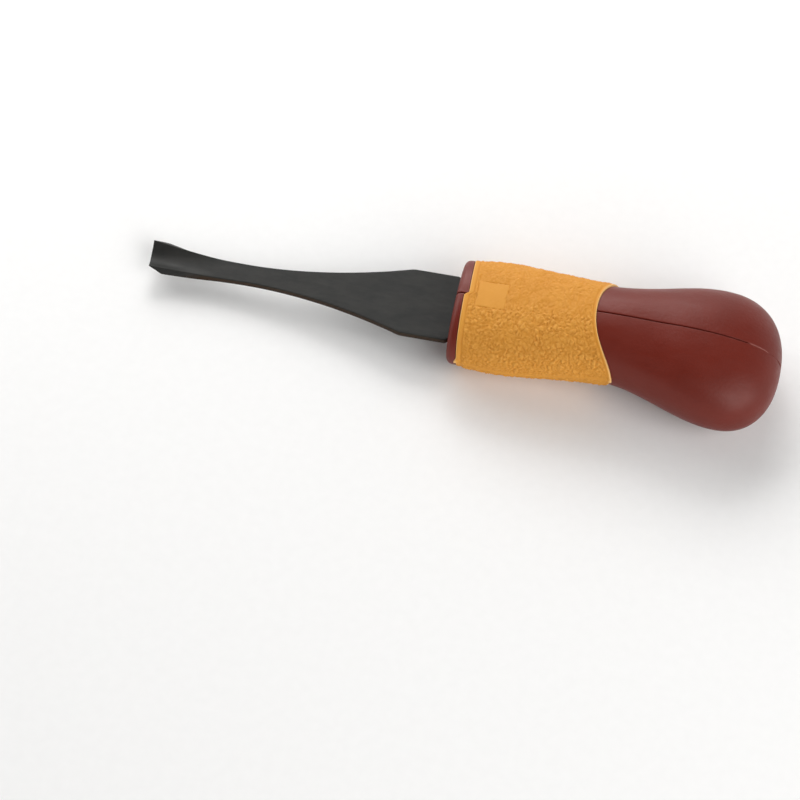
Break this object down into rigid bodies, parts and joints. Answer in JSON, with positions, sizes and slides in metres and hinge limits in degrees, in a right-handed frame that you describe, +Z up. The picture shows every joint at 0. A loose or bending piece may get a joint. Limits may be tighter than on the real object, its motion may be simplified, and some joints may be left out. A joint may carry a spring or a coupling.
{
  "type": "lino cutter",
  "caption": "Block and lino cutter: a bulbous two-part palm handle with a rubber grip sleeve and a removable fishtail gouge blade held by a spring detent.",
  "frame": {"origin": "middle of the bottom of the whole tool's box, on the table that it lies on", "axes": "+Z up from the table, +X towards the cutting edge; the blade's own axis dips 3.96 degrees below +X, as the tool lies on the underside of its bulb and the front of its sleeve"},
  "size_m": [0.1812, 0.0422, 0.0252],
  "materials": {
    "blade_steel": "black oxide, satin",
    "handle_plastic": "burgundy, satin moulded",
    "sleeve_rubber": "ochre, leather-grained, matt",
    "socket_steel": "zinc plated",
    "spring_steel": "polished spring strip",
    "rivet_brass": "plain",
    "screw_steel": "zinc plated"
  },
  "bodies": {
    "handle": {"handle_left_half": "handle_plastic", "handle_right_half": "handle_plastic", "grip_sleeve": "sleeve_rubber", "tang_socket": "socket_steel", "detent_spring": "spring_steel", "spring_rivet": "rivet_brass", "handle_screw_front": "screw_steel", "handle_screw_middle": "screw_steel", "handle_screw_rear": "screw_steel"},
    "blade": {"gouge_blade": "blade_steel"}
  },
  "joints": [
    {"name": "blade_slide", "type": "slide", "parent": "handle", "child": "blade", "axis": [0.9976, 0, -0.069], "range_m": [0, 0.032], "deforming": ["detent_spring"]}
  ]
}
